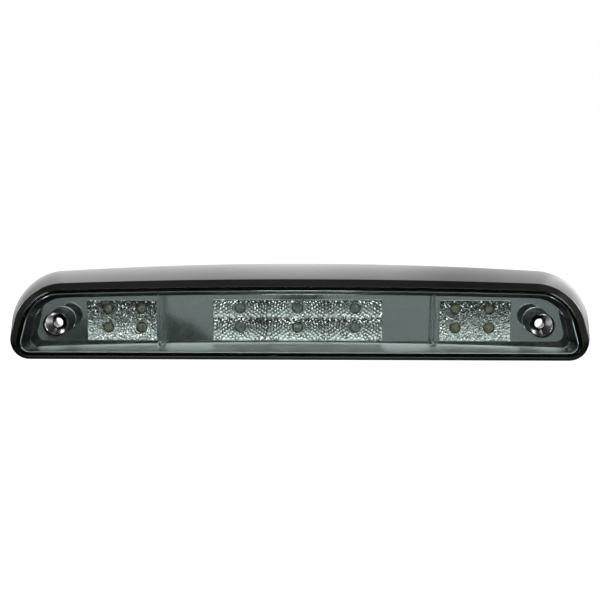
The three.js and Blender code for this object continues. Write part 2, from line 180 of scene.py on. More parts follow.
def bowed(edge_x, z, bow, steps):
    """The inner points of an edge from +edge_x to -edge_x that arches by `bow` at the middle."""
    spots = (1 - 2 * i / steps for i in range(1, steps))
    return [(edge_x * t, z + bow * (1 - t * t)) for t in spots]


def mixed(outlines, weights):
    """The weighted mean of some outlines."""
    return Outline(*(sum(w * v for w, v in zip(weights, values)) for values in zip(*outlines)))


# ---------------------------------------------------------------- mesh building


def link(name, mesh):
    """A new object in the scene."""
    obj = bpy.data.objects.new(name, mesh)
    scene.collection.objects.link(obj)
    return obj


def from_bmesh(name, bm):
    """A bmesh as an object, scaled to metres, with all its faces turned outwards."""
    bmesh.ops.recalc_face_normals(bm, faces=bm.faces[:])
    bmesh.ops.scale(bm, vec=(MM, MM, MM), verts=bm.verts[:])
    mesh = bpy.data.meshes.new(name)
    bm.to_mesh(mesh)
    bm.free()
    return link(name, mesh)


def softened(sections, steps=4):
    """Sections [(y, outline, reach)] as [(y, outline)]. Each corner that has a reach becomes a curve that
    starts and ends that far from it."""
    soft = []
    for i, (y, outline, reach) in enumerate(sections):
        if not reach:
            soft.append((y, outline))
            continue
        ends = []
        for other_y, other, _ in (sections[i - 1], sections[(i + 1) % len(sections)]):
            share = min(0.5, reach / math.hypot(other_y - y, other.top - outline.top))
            ends.append((y + (other_y - y) * share, mixed((outline, other), (1 - share, share))))
        (y0, o0), (y1, o1) = ends
        for k in range(steps + 1):
            t = k / steps
            weights = ((1 - t) ** 2, 2 * t * (1 - t), t * t)
            depth = weights[0] * y0 + weights[1] * y + weights[2] * y1
            soft.append((depth, mixed((o0, outline, o1), weights)))
    return soft


def loft(name, sections, closed=False):
    """A skin over a row of sections, with its two ends capped or, if closed, joined to each other."""
    bm = bmesh.new()
    rings = []
    for y, outline in softened(sections):
        rings.append([bm.verts.new((x, y, z)) for x, z in outline.points()])
    count = len(rings[0])
    pairs = list(zip(rings, rings[1:]))
    if closed:
        pairs.append((rings[-1], rings[0]))
    for a, b in pairs:
        for i in range(count):
            j = (i + 1) % count
            bm.faces.new((a[i], a[j], b[j], b[i]))
    if not closed:
        bm.faces.new(rings[0])
        bm.faces.new(rings[-1])
    return from_bmesh(name, bm)


def strip(name, sections, pick):
    """A thin solid along part of an outline: `pick` keeps a run of the points of each section."""
    bm = bmesh.new()
    rings = [[bm.verts.new((x, y, z)) for x, z in pick(outline.points())] for y, outline in sections]
    for a, b in zip(rings, rings[1:] + rings[:1]):
        for i in range(len(a) - 1):
            bm.faces.new((a[i], a[i + 1], b[i + 1], b[i]))
    for end in (0, -1):
        bm.faces.new([ring[end] for ring in rings])
    return from_bmesh(name, bm)


def turned(name, profile, x=0.0, z=0.0, facets=64):
    """A solid turned about a depth axis at (x, z). Its [(radius, y)] profile runs from axis to axis, or is
    closed."""
    bm = bmesh.new()
    rings = []
    for r, y in profile:
        if r == 0:
            rings.append([bm.verts.new((x, y, z))] * facets)
            continue
        turns = (2 * math.pi * i / facets for i in range(facets))
        rings.append([bm.verts.new((x + r * math.cos(a), y, z + r * math.sin(a))) for a in turns])
    pairs = list(zip(rings, rings[1:]))
    if profile[0][0] != 0:
        pairs.append((rings[-1], rings[0]))
    for a, b in pairs:
        for i in range(facets):
            j = (i + 1) % facets
            corners = list(dict.fromkeys((a[i], a[j], b[j], b[i])))
            bm.faces.new(corners)
    return from_bmesh(name, bm)


def slab(name, low, high, edge=0.0, segments=2):
    """A block between two corners, with its edges rounded by `edge`."""
    bm = bmesh.new()
    bmesh.ops.create_cube(bm, size=1)
    for vert in bm.verts:
        vert.co = Vector(low[k] + (vert.co[k] + 0.5) * (high[k] - low[k]) for k in range(3))
    if edge:
        bmesh.ops.bevel(bm, geom=bm.edges[:], offset=edge, segments=segments, affect="EDGES", profile=0.5)
    return from_bmesh(name, bm)


def settle(obj):
    """Applies an object's modifiers."""
    mesh = bpy.data.meshes.new_from_object(obj.evaluated_get(bpy.context.evaluated_depsgraph_get()))
    obj.modifiers.clear()
    obj.data = mesh


def combine(target, tools, operation):
    """Joins tools to a solid, or cuts them out of it, and removes them."""
    for tool in tools:
        step = target.modifiers.new("combine", "BOOLEAN")
        step.operation = operation
        step.solver = "EXACT"
        step.object = tool
    settle(target)
    for tool in tools:
        bpy.data.objects.remove(tool)
    return target


def kept_inside(obj, space):
    """Cuts off what lies outside a solid."""
    keep = obj.modifiers.new("keep", "BOOLEAN")
    keep.operation = "INTERSECT"
    keep.solver = "EXACT"
    keep.object = space
    settle(obj)


def joined(name, parts):
    """Several objects as one, each keeping its own shell."""
    bm = bmesh.new()
    for part in parts:
        bm.from_mesh(part.data)
        bpy.data.objects.remove(part)
    mesh = bpy.data.meshes.new(name)
    bm.to_mesh(mesh)
    bm.free()
    return link(name, mesh)


def smooth(obj, crease=35.0, weighted=True):
    """Smooth shading, except across edges sharper than `crease` degrees."""
    bm = bmesh.new()
    bm.from_mesh(obj.data)
    limit = math.radians(crease)
    for face in bm.faces:
        face.smooth = True
    for edge in bm.edges:
        edge.smooth = len(edge.link_faces) == 2 and edge.calc_face_angle(0) < limit
    bm.to_mesh(obj.data)
    bm.free()
    if weighted:
        normals = obj.modifiers.new("normals", "WEIGHTED_NORMAL")
        normals.keep_sharp = True
    return obj


def finish_piece(obj, material, slot, *replaced):
    """Gives a piece its material, its place in the frame and the CAD nodes that it stands for."""
    obj.data.materials.clear()
    obj.data.materials.append(material)
    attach(obj, "root")
    if replaced:
        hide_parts(*replaced)
    return obj


# ---------------------------------------------------------------- materials


class Finish:
    """A material with its Principled shader, and short ways to give it grain."""

    def __init__(self, name, colour, roughness, **sockets):
        self.material = bpy.data.materials.new(name)
        self.material.use_nodes = True
        self.tree = self.material.node_tree
        self.shader = self.tree.nodes["Principled BSDF"]
        self.shader.inputs["Base Color"].default_value = (*colour, 1)
        self.shader.inputs["Roughness"].default_value = roughness
        for socket, value in sockets.items():
            self.shader.inputs[socket.replace("_", " ")].default_value = value
        self.colour = colour
        self.place = self.tree.nodes.new("ShaderNodeTexCoord")

    def noise(self, size, detail=3.0, stretch=(1, 1, 1)):
        """A noise pattern whose lumps are about `size` mm across, and longer along an axis by `stretch`."""
        mapping = self.tree.nodes.new("ShaderNodeMapping")
        mapping.inputs["Scale"].default_value = [1 / (size * MM * s) for s in stretch]
        self.tree.links.new(self.place.outputs["Object"], mapping.inputs["Vector"])
        pattern = self.tree.nodes.new("ShaderNodeTexNoise")
        pattern.inputs["Scale"].default_value = 1
        pattern.inputs["Detail"].default_value = detail
        self.tree.links.new(mapping.outputs["Vector"], pattern.inputs["Vector"])
        return pattern.outputs["Fac"]

    def spread(self, source, low, high, start=0.3, end=0.7):
        """A pattern's middle range mapped to values from low to high."""
        remap = self.tree.nodes.new("ShaderNodeMapRange")
        remap.inputs["From Min"].default_value = start
        remap.inputs["From Max"].default_value = end
        remap.inputs["To Min"].default_value = low
        remap.inputs["To Max"].default_value = high
        self.tree.links.new(source, remap.inputs["Value"])
        return remap.outputs["Result"]

    def depth(self):
        """How far back a point is, in metres."""
        split = self.tree.nodes.new("ShaderNodeSeparateXYZ")
        self.tree.links.new(self.place.outputs["Object"], split.inputs["Vector"])
        return split.outputs["Y"]

    def mottle(self, source, other, start=0.3, end=0.7):
        """The colour varies with a pattern, from the base colour at `start` to another at `end`."""
        blend = self.tree.nodes.new("ShaderNodeMix")
        blend.data_type = "RGBA"
        blend.inputs[6].default_value = (*self.colour, 1)
        blend.inputs[7].default_value = (*other, 1)
        self.tree.links.new(self.spread(source, 0, 1, start, end), blend.inputs[0])
        self.tree.links.new(blend.outputs[2], self.shader.inputs["Base Color"])
        return self

    def roughen(self, source, low, high):
        """The roughness varies with a pattern."""
        self.tree.links.new(self.spread(source, low, high), self.shader.inputs["Roughness"])
        return self

    def bump(self, source, height):
        """The pattern stands out of the surface by about `height` mm."""
        relief = self.tree.nodes.new("ShaderNodeBump")
        relief.inputs["Strength"].default_value = 1
        relief.inputs["Distance"].default_value = height * MM
        self.tree.links.new(source, relief.inputs["Height"])
        earlier = self.shader.inputs["Normal"].links
        if earlier:
            self.tree.links.new(earlier[0].from_socket, relief.inputs["Normal"])
        self.tree.links.new(relief.outputs["Normal"], self.shader.inputs["Normal"])
        return self


def gloss_black():
    """Deep gloss black moulding, with a slow waviness and a fine haze."""
    finish = Finish("gloss_black", (0.002, 0.004, 0.0015), 0.04, IOR=1.5)
    finish.shader.inputs["Specular Tint"].default_value = (0.96, 1, 0.94, 1)
    finish.mottle(finish.noise(9), (0.003, 0.0055, 0.0022))
    finish.roughen(finish.noise(1.5, stretch=(6, 1, 1)), 0.03, 0.08)
    finish.bump(finish.noise(14, detail=1), 0.02)
    return finish.material


def smoked_lens():
    """Polished clear polycarbonate with a smoke tint."""
    finish = Finish("smoked_lens", (0.60, 0.65, 0.64), 0.0, IOR=1.5, Transmission_Weight=1.0)
    finish.shader.inputs["Specular Tint"].default_value = (0.06, 0.06, 0.06, 1)
    finish.mottle(finish.noise(25, detail=2), (0.585, 0.635, 0.628))
    return finish.material


def chrome():
    """Vacuum-metallised plastic: a mirror with the faint waviness of its moulding."""
    finish = Finish("chrome", (0.80, 0.83, 0.82), 0.05, Metallic=1.0)
    finish.mottle(finish.noise(12), (0.76, 0.79, 0.785))
    finish.roughen(finish.noise(3), 0.03, 0.08)
    finish.bump(finish.noise(22, detail=1), 0.03)
    return finish.material


def satin_chrome_painted_shade():
    """The same metal where the mould was grained, for the tray's sloping floor, with painted shade that darkens
    it from the panel towards the rim.
    """
    finish = Finish("satin_chrome_painted_shade", (0.99, 0.97, 0.955), 0.4, Metallic=1.0)
    # Painted shade: the colour runs from pale at the panel to dark grey at the rim, standing in for the light
    # that falls off towards the front.
    finish.mottle(finish.depth(), (0.38, 0.37, 0.36), PANEL_Y * MM, RIM_Y * MM)
    finish.roughen(finish.noise(0.6), 0.38, 0.48)
    finish.bump(finish.noise(0.25), 0.01)
    return finish.material


def bare_plastic():
    """Grey plastic with no metal on it: the tray's sides and floor, under the sheets of painted shade."""
    return moulded("bare_plastic", (0.80, 0.87, 0.87), (0.74, 0.81, 0.81), 0.6)


def shaded_well_chrome():
    """The metal in the screw wells, over the marks of a turned mould, with a base colour darker than the tray's
    chrome as painted shade in the wells.
    """
    # Painted shade: the low base colour darkens the well cones; the noise moves it at random towards a paler
    # grey.
    finish = Finish("shaded_well_chrome", (0.42, 0.42, 0.43), 0.12, Metallic=1.0)
    finish.mottle(finish.noise(2), (0.68, 0.66, 0.67))
    finish.roughen(finish.noise(0.5), 0.09, 0.16)
    finish.bump(finish.noise(0.3), 0.01)
    return finish.material


def painted_shade_navy():
    """Painted shade: a dull navy finish for the tray's sides and ceiling and round its screw wells, standing in
    for their shade and the dark they mirror.
    """
    # Painted shade: this dark navy colour is the shade and dark reflections of those surfaces, not a colour of
    # their own.
    finish = Finish("painted_shade_navy", (0.045, 0.058, 0.064), 0.4)
    finish.shader.inputs["Specular IOR Level"].default_value = 0.15
    finish.mottle(finish.noise(6), (0.034, 0.045, 0.051))
    finish.roughen(finish.noise(2), 0.3, 0.5)
    return finish.material


def faceted_chrome():
    """Metallised facets, a little softer than the tray."""
    finish = Finish("faceted_chrome", (0.93, 0.95, 0.91), 0.1, Metallic=1.0)
    finish.mottle(finish.noise(2), (0.86, 0.88, 0.84))
    finish.roughen(finish.noise(0.8), 0.06, 0.16)
    return finish.material


def divider_plastic():
    """Thin clear plastic with a faint blue haze."""
    finish = Finish("divider_plastic", (0.70, 0.80, 0.84), 0.15, IOR=1.5, Alpha=0.22)
    finish.mottle(finish.noise(3, stretch=(1, 1, 4)), (0.62, 0.72, 0.76))
    finish.roughen(finish.noise(0.6), 0.1, 0.22)
    return finish.material


def rubber(name="rubber"):
    """Black rubber or sealant with a dull skin."""
    finish = Finish(name, (0.002, 0.003, 0.002), 0.6)
    finish.shader.inputs["Specular IOR Level"].default_value = 0.1
    finish.mottle(finish.noise(2), (0.004, 0.005, 0.004))
    finish.roughen(finish.noise(0.7), 0.5, 0.75)
    finish.bump(finish.noise(0.5), 0.05)
    return finish.material


def foam():
    """Closed-cell foam: small round pores in a black skin."""
    finish = Finish("foam", (0.028, 0.030, 0.032), 0.95)
    cells = finish.tree.nodes.new("ShaderNodeTexVoronoi")
    cells.inputs["Scale"].default_value = 1 / (0.7 * MM)
    finish.tree.links.new(finish.place.outputs["Object"], cells.inputs["Vector"])
    finish.mottle(cells.outputs["Distance"], (0.05, 0.052, 0.055))
    finish.bump(cells.outputs["Distance"], 0.25)
    return finish.material


def clear_epoxy(name, colour):
    """The slightly hazy clear body and dome of an LED."""
    finish = Finish(name, colour, 0.1, IOR=1.5, Transmission_Weight=0.2)
    finish.mottle(finish.noise(1.1, stretch=(1, 1, 2)), tuple(0.5 * c for c in colour))
    finish.roughen(finish.noise(1.2), 0.06, 0.14)
    return finish.material


def phosphor(name, colour, other):
    """The chip's covering at the bottom of an LED's cup."""
    finish = Finish(name, colour, 0.4)
    finish.mottle(finish.noise(0.3), other)
    finish.bump(finish.noise(0.2), 0.02)
    return finish.material


def solder_mask():
    """Green solder mask over copper tracks, which show as long paler bands."""
    finish = Finish("solder_mask", (0.02, 0.13, 0.05), 0.35, IOR=1.5)
    finish.mottle(finish.noise(2.5, detail=0, stretch=(7, 1, 1)), (0.04, 0.22, 0.09))
    finish.bump(finish.noise(2.5, detail=0, stretch=(7, 1, 1)), 0.05)
    return finish.material


def zinc_steel():
    """Zinc-plated steel with turning marks."""
    finish = Finish("zinc_steel", (0.56, 0.57, 0.56), 0.3, Metallic=1.0)
    finish.mottle(finish.noise(0.8), (0.44, 0.45, 0.44))
    finish.roughen(finish.noise(0.4), 0.22, 0.42)
    finish.bump(finish.noise(0.15, stretch=(1, 8, 1)), 0.01)
    return finish.material


def moulded(name, colour, other, roughness=0.5, grain=0.4):
    """A plain moulded or lacquered finish with a fine grain."""
    finish = Finish(name, colour, roughness)
    finish.mottle(finish.noise(1.5), other)
    finish.roughen(finish.noise(0.6), roughness - 0.08, roughness + 0.1)
    finish.bump(finish.noise(grain), 0.02)
    return finish.material


def resistor_lacquer():
    """Beige lacquer with colour bands round the body, which lies along X."""
    finish = Finish("resistor_lacquer", (0.55, 0.43, 0.25), 0.45)
    waves = finish.tree.nodes.new("ShaderNodeTexWave")
    waves.bands_direction = "X"
    waves.inputs["Scale"].default_value = 0.31 / (1.9 * MM)
    finish.tree.links.new(finish.place.outputs["Object"], waves.inputs["Vector"])
    finish.mottle(waves.outputs["Fac"], (0.16, 0.05, 0.02), start=0.82, end=0.9)
    return finish.material


# ---------------------------------------------------------------- housing


def flare(t):
    """How far the skirt has gone from the crest's outline to the rear one, a share t of the way back."""
    return 1.7 * t - 0.7 * t * t


def skirt(d, start, steps=14):
    """Sections of the skirt's skin, moved in by d, from share `start` of its depth to its rear edge."""
    sections = []
    for i in range(steps + 1):
        t = start + (1 - start) * i / steps
        y = CREST_Y + (RIM_REAR_Y - CREST_Y) * t
        s = flare(t)
        sections.append((y, mixed((CREST, REAR), (1 - s, s)).inset(d), 0))
    return sections


LIGHT_BOX = TRAY_RIM.inset(-0.4)
BOX_OUTER = LIGHT_BOX.inset(-BOX_WALL)
GROOVE_SHARE = (GROOVE_FRONT_Y - CREST_Y) / (RIM_REAR_Y - CREST_Y)


def housing_shell():
    channel = RIDGE.inset(0.5)
    outer = skirt(0, 0)
    inner = skirt(SKIRT_WALL, GROOVE_SHARE)[::-1]
    crest_y, crest, _ = outer[0]
    rear_y, rear, _ = outer[-1]
    return loft("housing_shell", [
        (BACK_Y, LIGHT_BOX.inset(1.5), 0),
        (BACK_Y, LIGHT_BOX, 1.0),
        (CHANNEL_FLOOR_Y, LIGHT_BOX, 0.4),
        (CHANNEL_FLOOR_Y, channel, 0.4),
        (RIDGE_Y, channel, 0.1),
        (RIDGE_Y + 0.2, RIDGE, 0.2),
        (crest_y, crest, 0.5),
        *outer[1:-1],
        (rear_y, rear, 0.7),
        (rear_y, inner[0][1], 0.5),
        *inner[1:-1],
        (inner[-1][0], inner[-1][1], 1.2),
        (GROOVE_FRONT_Y, BOX_OUTER, 1.2),
        (RIM_REAR_Y, BOX_OUTER, 0.5),
        (RIM_REAR_Y, LIGHT_BOX, 0.5),
        (BACK_Y + BACK_THICK, LIGHT_BOX, 1.0),
        (BACK_Y + BACK_THICK, LIGHT_BOX.inset(1.5), 0),
    ])


def ribs():
    """The plates that tie the skirt to the light box, behind."""
    x_places = [(i - (RIB_COUNT - 1) / 2) * RIB_PITCH for i in range(RIB_COUNT)]
    half = RIB_THICK / 2
    front, rear = GROOVE_FRONT_Y - 0.5, RIM_REAR_Y - 0.4
    plates = [slab("rib", (x - half, front, -40), (x + half, rear, 45), 0.3) for x in x_places]
    plates.append(slab("rib", (-210, front, -half), (210, rear, half), 0.3))
    sleeve = loft("sleeve", [(y, o, 0) for y, o, _ in [
        (front - 1, mixed((CREST, REAR), (0.8, 0.2)).inset(SKIRT_WALL - 0.6), 0),
        *skirt(SKIRT_WALL - 0.6, GROOVE_SHARE),
        (1, REAR.inset(SKIRT_WALL - 0.6), 0),
        (1, BOX_OUTER.inset(0.6), 0),
        (front - 1, BOX_OUTER.inset(0.6), 0),
    ]], closed=True)
    for plate in plates:
        kept_inside(plate, sleeve)
    bpy.data.objects.remove(sleeve)
    return plates


def tower_wall(side):
    return turned("tower", [
        (0, -40), (6.2, -40), (6.5, -39.7), (6.5, -24.8), (6.9, -23.9), (13.7, -14.0), (14.1, -13.1),
        (14.1, RIM_REAR_Y - 0.4), (13.7, RIM_REAR_Y), (0, RIM_REAR_Y),
    ], side * SCREW_X)


def tower_bore(side):
    return turned("bore", [
        (0, -42), (SCREW_R + 0.5, -42), (SCREW_R + 0.5, -40.2), (SCREW_R, -39.6), (SCREW_R, -34.5),
        (5.2, -34.5), (5.2, -24.6), (5.5, -23.9), (12.2, -13.9), (12.5, -13.2), (12.5, RIM_REAR_Y - 0.5),
        (13.4, 1), (0, 1),
    ], side * SCREW_X)


def back_holes():
    """The holes in the back wall for the vent, the grommet and the bezel's screws."""
    vent, grommet = middle_mm("vent_plug"), middle_mm("cable_grommet")
    spots = [(vent.x, vent.z, 2.4), (grommet.x, grommet.z, 6.0)]
    for i in range(4):
        screw = middle_mm(f"bezel_screw_{i + 1}")
        spots.append((screw.x, screw.z, 1.6))
    return [turned("hole", [
        (0, BACK_Y - 3), (r, BACK_Y - 3), (r, 0), (0, 0),
    ], x, z, 32) for x, z, r in spots]


def make_housing(material):
    shell = housing_shell()
    combine(shell, ribs() + [tower_wall(side) for _, side in SIDES], "UNION")
    combine(shell, [tower_bore(side) for _, side in SIDES] + back_holes(), "DIFFERENCE")
    smooth(shell)
    finish_piece(shell, material, "gloss_black", "housing")


# ---------------------------------------------------------------- lens and seals


def make_lens():
    edge = RIDGE.inset(0.8)
    plate = loft("lens_plate", [
        (LENS_Y, edge.inset(2), 0), (LENS_Y, edge, 0.35),
        (LENS_BACK_Y, edge, 0.25), (LENS_BACK_Y, edge.inset(2), 0),
    ])
    r = WELL_R - 0.1
    front, back = LENS_Y, LENS_BACK_Y
    holes = [turned("hole", [
        (0, front - 1), (r + 1.3, front - 1), (r + 0.3, front), (r + 0.08, front + 0.12),
        (r, front + 0.35), (r, back - 0.2), (r + 0.15, back), (r + 1.15, back + 1), (0, back + 1),
    ], side * SCREW_X, facets=96) for _, side in SIDES]
    combine(plate, holes, "DIFFERENCE")
    smooth(plate)
    finish_piece(plate, smoked_lens(), "smoked_lens", "lens")


def make_seals(material):
    outer, inner = RIDGE.inset(0.8), TRAY_RIM.inset(-0.3)
    lip = TRAY_RIM.inset(TRAY_WALL - 0.4)
    bead = loft("lens_seal_bead", [
        (RIM_Y, outer, 0.3), (SEAL_BACK_Y, outer, 0.3), (SEAL_BACK_Y, inner, 0.3),
        (RIM_Y + SEAL_LIP, inner, 0.1), (RIM_Y + SEAL_LIP, lip, 0.1), (RIM_Y, lip, 0.1),
    ], closed=True)
    smooth(bead)
    finish_piece(bead, material, "rubber", "lens_seal")
    for label, side in SIDES:
        low, high = box_mm(f"well_seal_{label}")
        y0, y1 = low.y, high.y
        ring = turned(f"well_seal_ring_{label}", [
            (7.5, y0), (7.85, y0), (8, y0 + 0.15), (8, y1 - 0.15), (7.85, y1), (7.5, y1), (7.35, y1 - 0.15),
            (7.35, y0 + 0.15),
        ], side * SCREW_X, facets=96)
        smooth(ring)
        finish_piece(ring, material, "rubber", f"well_seal_{label}")


# ---------------------------------------------------------------- bezel


def window_mm(label):
    """The window in the panel that a reflector fills: (x0, x1, z0, z1)."""
    low, high = box_mm(f"reflector_{label}")
    flange = 2.0
    return low.x + flange, high.x - flange, low.z + flange, high.z - flange


def well_wall(side):
    """A screw well's outside, from the lens back to the panel, before it is hollowed."""
    r, y = WELL_R, WELL_FRONT_Y
    return turned("well", [
        (0, y), (r - 0.25, y), (r, y + 0.25), (r, PANEL_Y - 1.0), (r + 0.3, PANEL_Y - 0.35),
        (r + 1.0, PANEL_Y), (r + 1.0, PANEL_Y + 0.6), (0, PANEL_Y + 0.6),
    ], side * SCREW_X, facets=96)


def only_direct(obj):
    """Keeps a piece out of glossy reflections, so the panel doesn't mirror the sheets of painted shade beside it.
    """
    obj.visible_glossy = False


def make_well_shade_sleeve(label, side, material):
    """Painted shade and reflection: a dark sheet round a screw well, from the panel to the lens seal, standing in
    for the dark that its chrome outside mirrors.
    """
    r, y = WELL_R, WELL_FRONT_Y
    sleeve = turned(f"well_shade_sleeve_{label}", [
        (r, y + 0.4), (r + 0.12, y + 0.3), (r + 0.2, y + 0.45),
        (r + 0.45, PANEL_Y - 0.1), (r, PANEL_Y - 0.05),
    ], side * SCREW_X, facets=96)
    smooth(sleeve)
    # Painted shade: the navy sheet darkens the well's outside.
    finish_piece(sleeve, material, "gloss_black")
    only_direct(sleeve)


def tray_section(share, d):
    """(y, outline) of the tray's inside a share of the way from rim to panel, moved in by d."""
    y = RIM_Y + SEAL_LIP + share * (PANEL_Y - RIM_Y - SEAL_LIP)
    return y, mixed((TRAY_RIM.inset(TRAY_WALL), PANEL), (1 - share, share)).inset(d)


def make_tray_shade_sheets(dark):
    """Sheets of painted shade: a dark one on the tray's sides and ceiling, and a satin one on its floor that is
    shaded from back to front.
    """
    near, far = 0.04, 0.985
    gap, depth = 0.03, 0.15
    row = [tray_section(*corner) for corner in ((near, gap), (far, gap), (far, depth), (near, depth))]
    around = 2 * (FOOT_STEPS + SHOULDER_STEPS + 2) + TOP_STEPS - 1
    # Painted shade: these thin sheets lie just inside the tray's walls and floor and carry the shade that falls
    # there.
    walls = strip("tray_wall_shade_sheet", row, lambda points: points[1:around - 1])
    floor = strip("tray_floor_shade_sheet", row, lambda points: points[around - 2:] + points[:2])
    for shade_sheet, material in ((walls, dark), (floor, satin_chrome_painted_shade())):
        smooth(shade_sheet)
        finish_piece(shade_sheet, material, "chrome")
        only_direct(shade_sheet)


def make_rim_edges(material):
    """The bevelled bright edge of the tray's rim, which shows past the seal at the sides."""
    first, last = FOOT_STEPS - 4, FOOT_STEPS + 1 + round(0.85 * SHOULDER_STEPS)
    inner, outer = TRAY_RIM.inset(TRAY_WALL + 0.05), TRAY_RIM.inset(TRAY_WALL - 0.5)
    row = [(RIM_Y - 0.1, inner), (RIM_Y + 0.13, outer), (RIM_Y + 0.5, outer), (RIM_Y + 0.5, inner)]
    for label, side in SIDES:
        run = lambda points: [(side * x, z) for x, z in points[first:last]]
        edge = strip(f"tray_rim_edge_{label}", row, run)
        smooth(edge)
        finish_piece(edge, material, "chrome")


def well_hollow(side):
    """What is taken out of the tray for a screw well: its cone, its bore and the hollow behind them."""
    y = WELL_FRONT_Y
    return turned("well_hollow", [
        (0, y - 2), (7.4, y - 2), (7.4, y + 0.02), (7.2, y + 0.15), (SCREW_R, WELL_FLOOR_Y),
        (SCREW_R, WELL_UNDER_Y), (6.9, WELL_UNDER_Y), (6.9, 0), (0, 0),
    ], side * SCREW_X, facets=96)


def bare_walls(tray):
    """The tray's walls round its panel have no metal of their own, and its wells have the turned kind, darkened
    with painted shade.
    """
    tray.data.materials.append(bare_plastic())
    tray.data.materials.append(shaded_well_chrome())
    cone_r = 7.45
    for face in tray.data.polygons:
        place = face.center / MM
        from_well = min(math.hypot(place.x - side * SCREW_X, place.z) for _, side in SIDES)
        if abs(face.normal.y) < 0.8 and place.y < PANEL_Y:
            face.material_index = 2 if from_well < cone_r else 1


def make_bezel():
    panel_back = PANEL_Y + PANEL_THICK
    tray = loft("bezel_tray", [
        (PANEL_Y, PANEL.inset(3), 0),
        (PANEL_Y, PANEL, 0.35),
        (RIM_Y + SEAL_LIP, TRAY_RIM.inset(TRAY_WALL), 0.5),
        (RIM_Y + SEAL_LIP, TRAY_RIM, 0.2),
        (panel_back, PANEL.inset(-TRAY_WALL), 1.0),
        (panel_back, PANEL.inset(3), 0),
    ])
    spots = [middle_mm(f"bezel_screw_{i + 1}") for i in range(4)]
    bosses = [turned("boss", [
        (0, panel_back - 0.5), (4.4, panel_back - 0.5), (3.4, panel_back + 0.8), (3.4, BACK_Y - 0.5),
        (3.2, BACK_Y - 0.3), (0, BACK_Y - 0.3),
    ], spot.x, spot.z, 32) for spot in spots]
    pilots = [turned("pilot", [
        (0, -18), (1.3, -18), (1.3, 0), (0, 0),
    ], spot.x, spot.z, 24) for spot in spots]
    windows = []
    for label in ("center", "left", "right"):
        x0, x1, z0, z1 = window_mm(label)
        windows.append(slab("window", (x0, PANEL_Y - 2, z0), (x1, panel_back + 1, z1)))
    hollows = [well_hollow(side) for _, side in SIDES]
    combine(tray, [well_wall(side) for _, side in SIDES] + bosses, "UNION")
    combine(tray, windows + hollows + pilots, "DIFFERENCE")
    smooth(tray, crease=30)
    metal, dark = chrome(), painted_shade_navy()
    finish_piece(tray, metal, "chrome", "bezel")
    bare_walls(tray)
    make_tray_shade_sheets(dark)
    make_rim_edges(metal)
    for label, side in SIDES:
        make_well_shade_sleeve(label, side, dark)


# ---------------------------------------------------------------- faceted reflectors

PLATE_FRONT_Y = box_mm("reflector_center")[0].y
PLATE_BACK_Y = -23.3
FLANGE_Y = -24.5
CELL_GAP = 0.3


def clipped(polygon, at, normal):
    """The part of a convex polygon behind a line through `at` whose normal is `normal`."""
    kept = []
    for i, point in enumerate(polygon):
        after = polygon[(i + 1) % len(polygon)]
        here = (point - at).dot(normal)
        there = (after - at).dot(normal)
        if here <= 0:
            kept.append(point)
        if here * there < 0:
            kept.append(point.lerp(after, here / (here - there)))
    return kept


def voronoi(seeds, rect, reach):
    """Each seed's convex cell inside a rectangle, from its neighbours within `reach`."""
    x0, x1, z0, z1 = rect
    tree = KDTree(len(seeds))
    for i, (x, z) in enumerate(seeds):
        tree.insert((x, z, 0), i)
    tree.balance()
    cells = []
    for i, seed in enumerate(seeds):
        here = Vector(seed)
        cell = [Vector(corner) for corner in ((x0, z0), (x1, z0), (x1, z1), (x0, z1))]
        for _, j, distance in tree.find_range((*seed, 0), reach):
            if j != i and distance > 0:
                there = Vector(seeds[j])
                cell = clipped(cell, (here + there) / 2, there - here)
        cells.append((here, cell))
    return cells


def facet_surface(bm, cells, depth, crown, tilt, layers, rng):
    """Raises every cell into a cut facet on the surface y = depth(x, z). `crown` is how far its middle stands
    out, `tilt` how far its corners stray, and `layers` the rings of faces from its rim to its middle."""
    corners = {}

    def corner(point):
        key = (round(point.x * 50), round(point.y * 50))
        for near in [(key[0] + i, key[1] + j) for i in (0, -1, 1) for j in (0, -1, 1)]:
            if near in corners:
                return corners[near]
        y = depth(point.x, point.y) + rng.uniform(-tilt, tilt)
        corners[key] = bm.verts.new((point.x, y, point.y))
        return corners[key]

    for seed, cell in cells:
        rim = list(dict.fromkeys(corner(p) for p in cell))
        if len(rim) < 3:
            continue
        centre = sum((v.co for v in rim), Vector()) / len(rim)
        lift = crown * rng.uniform(0.8, 1.2) + rng.uniform(-1, 1) * 1.6 * tilt
        outer = rim
        for layer in range(1, layers):
            share = layer / layers
            rise = Vector((0, lift * (1 - (1 - share) ** 2), 0))
            inner = [bm.verts.new(v.co.lerp(centre, share) - rise) for v in rim]
            for k in range(len(rim)):
                after = (k + 1) % len(rim)
                bm.faces.new((outer[k], outer[after], inner[after], inner[k]))
            outer = inner
        top = bm.verts.new(centre - Vector((0, lift, 0)))
        for k in range(len(rim)):
            bm.faces.new((outer[k], outer[(k + 1) % len(rim)], top))
    return bm


def plate_from_surface(name, bm):
    """Closes a facet surface into a plate, by walls down to the flange plane and a flat back."""
    edges = [e for e in bm.edges if len(e.link_faces) == 1]
    walls = bmesh.ops.extrude_edge_only(bm, edges=edges)["geom"]
    fresh = [v for v in walls if isinstance(v, bmesh.types.BMVert)]
    for vert in fresh:
        vert.co.y = PLATE_BACK_Y
    rim = [e for e in walls if isinstance(e, bmesh.types.BMEdge) and len(e.link_faces) == 1]
    bmesh.ops.contextual_create(bm, geom=rim)
    return from_bmesh(name, bm)


def led_spots(label):
    """The centres (x, z) of the light sources in one chamber."""
    kind = "red" if label == "center" else f"white_{label}"
    count = 6 if label == "center" else 4
    return [middle_mm(f"led_{kind}_{i + 1}") for i in range(count)]


